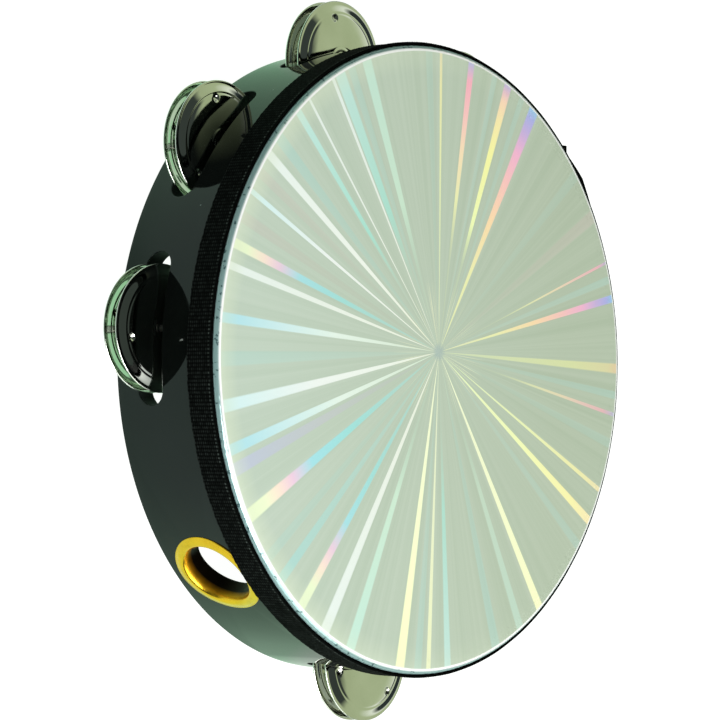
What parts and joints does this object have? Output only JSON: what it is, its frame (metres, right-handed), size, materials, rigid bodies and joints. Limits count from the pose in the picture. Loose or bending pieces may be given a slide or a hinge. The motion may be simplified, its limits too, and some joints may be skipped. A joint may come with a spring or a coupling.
{
  "type": "tambourine",
  "caption": "Round headed tambourine: a slotted black hoop with loose metal jingles on pins, a foil-patterned drumhead held by a woven band, and a brass-lined hand hole.",
  "frame": {"origin": "centre of the drumhead's playing face, on the hoop's axis; the open rim lies 54 mm below it", "axes": "+Z out of the playing face along the hoop's axis; -Y towards the hand hole; +X completes a right-handed frame"},
  "size_m": [0.295, 0.27, 0.054],
  "materials": {
    "hoop_gloss": "black high gloss lacquer over the fibre hoop",
    "head_film": "holographic foil film with a starburst of rays, silver green",
    "band_weave": "black ribbed woven tape",
    "grommet_brass": "polished yellow brass",
    "pin_steel": "drawn steel",
    "jingle_nickel": "bright nickel plate"
  },
  "bodies": {
    "hoop_body": {"hoop": "hoop_gloss", "drumhead": "head_film", "rim_band": "band_weave", "grommet": "grommet_brass", "grommet_washer": "grommet_brass", "jingle_pin_1": "pin_steel", "jingle_pin_2": "pin_steel", "jingle_pin_3": "pin_steel", "jingle_pin_4": "pin_steel", "jingle_pin_5": "pin_steel", "jingle_pin_6": "pin_steel", "jingle_pin_7": "pin_steel", "jingle_pin_8": "pin_steel"},
    "jingle_1_upper_body": {"jingle_1_upper": "jingle_nickel"},
    "jingle_1_lower_body": {"jingle_1_lower": "jingle_nickel"},
    "jingle_2_upper_body": {"jingle_2_upper": "jingle_nickel"},
    "jingle_2_lower_body": {"jingle_2_lower": "jingle_nickel"},
    "jingle_3_upper_body": {"jingle_3_upper": "jingle_nickel"},
    "jingle_3_lower_body": {"jingle_3_lower": "jingle_nickel"},
    "jingle_4_upper_body": {"jingle_4_upper": "jingle_nickel"},
    "jingle_4_lower_body": {"jingle_4_lower": "jingle_nickel"},
    "jingle_5_upper_body": {"jingle_5_upper": "jingle_nickel"},
    "jingle_5_lower_body": {"jingle_5_lower": "jingle_nickel"},
    "jingle_6_upper_body": {"jingle_6_upper": "jingle_nickel"},
    "jingle_6_lower_body": {"jingle_6_lower": "jingle_nickel"},
    "jingle_7_upper_body": {"jingle_7_upper": "jingle_nickel"},
    "jingle_7_lower_body": {"jingle_7_lower": "jingle_nickel"},
    "jingle_8_upper_body": {"jingle_8_upper": "jingle_nickel"},
    "jingle_8_lower_body": {"jingle_8_lower": "jingle_nickel"}
  },
  "joints": [
    {"name": "jingle_1_upper_slide", "type": "slide", "parent": "hoop_body", "child": "jingle_1_upper_body", "axis": [0, 0, 1], "range_m": [-0.0027, 0.002]},
    {"name": "jingle_1_lower_slide", "type": "slide", "parent": "hoop_body", "child": "jingle_1_lower_body", "axis": [0, 0, 1], "range_m": [-0.0001, 0.0027]},
    {"name": "jingle_2_upper_slide", "type": "slide", "parent": "hoop_body", "child": "jingle_2_upper_body", "axis": [0, 0, 1], "range_m": [-0.0027, 0.002]},
    {"name": "jingle_2_lower_slide", "type": "slide", "parent": "hoop_body", "child": "jingle_2_lower_body", "axis": [0, 0, 1], "range_m": [-0.0001, 0.0027]},
    {"name": "jingle_3_upper_slide", "type": "slide", "parent": "hoop_body", "child": "jingle_3_upper_body", "axis": [0, 0, 1], "range_m": [-0.0027, 0.002]},
    {"name": "jingle_3_lower_slide", "type": "slide", "parent": "hoop_body", "child": "jingle_3_lower_body", "axis": [0, 0, 1], "range_m": [-0.0001, 0.0027]},
    {"name": "jingle_4_upper_slide", "type": "slide", "parent": "hoop_body", "child": "jingle_4_upper_body", "axis": [0, 0, 1], "range_m": [-0.0027, 0.002]},
    {"name": "jingle_4_lower_slide", "type": "slide", "parent": "hoop_body", "child": "jingle_4_lower_body", "axis": [0, 0, 1], "range_m": [-0.0001, 0.0027]},
    {"name": "jingle_5_upper_slide", "type": "slide", "parent": "hoop_body", "child": "jingle_5_upper_body", "axis": [0, 0, 1], "range_m": [-0.0027, 0.002]},
    {"name": "jingle_5_lower_slide", "type": "slide", "parent": "hoop_body", "child": "jingle_5_lower_body", "axis": [0, 0, 1], "range_m": [-0.0001, 0.0027]},
    {"name": "jingle_6_upper_slide", "type": "slide", "parent": "hoop_body", "child": "jingle_6_upper_body", "axis": [0, 0, 1], "range_m": [-0.0027, 0.002]},
    {"name": "jingle_6_lower_slide", "type": "slide", "parent": "hoop_body", "child": "jingle_6_lower_body", "axis": [0, 0, 1], "range_m": [-0.0001, 0.0027]},
    {"name": "jingle_7_upper_slide", "type": "slide", "parent": "hoop_body", "child": "jingle_7_upper_body", "axis": [0, 0, 1], "range_m": [-0.0027, 0.002]},
    {"name": "jingle_7_lower_slide", "type": "slide", "parent": "hoop_body", "child": "jingle_7_lower_body", "axis": [0, 0, 1], "range_m": [-0.0001, 0.0027]},
    {"name": "jingle_8_upper_slide", "type": "slide", "parent": "hoop_body", "child": "jingle_8_upper_body", "axis": [0, 0, 1], "range_m": [-0.0027, 0.002]},
    {"name": "jingle_8_lower_slide", "type": "slide", "parent": "hoop_body", "child": "jingle_8_lower_body", "axis": [0, 0, 1], "range_m": [-0.0001, 0.0027]}
  ]
}
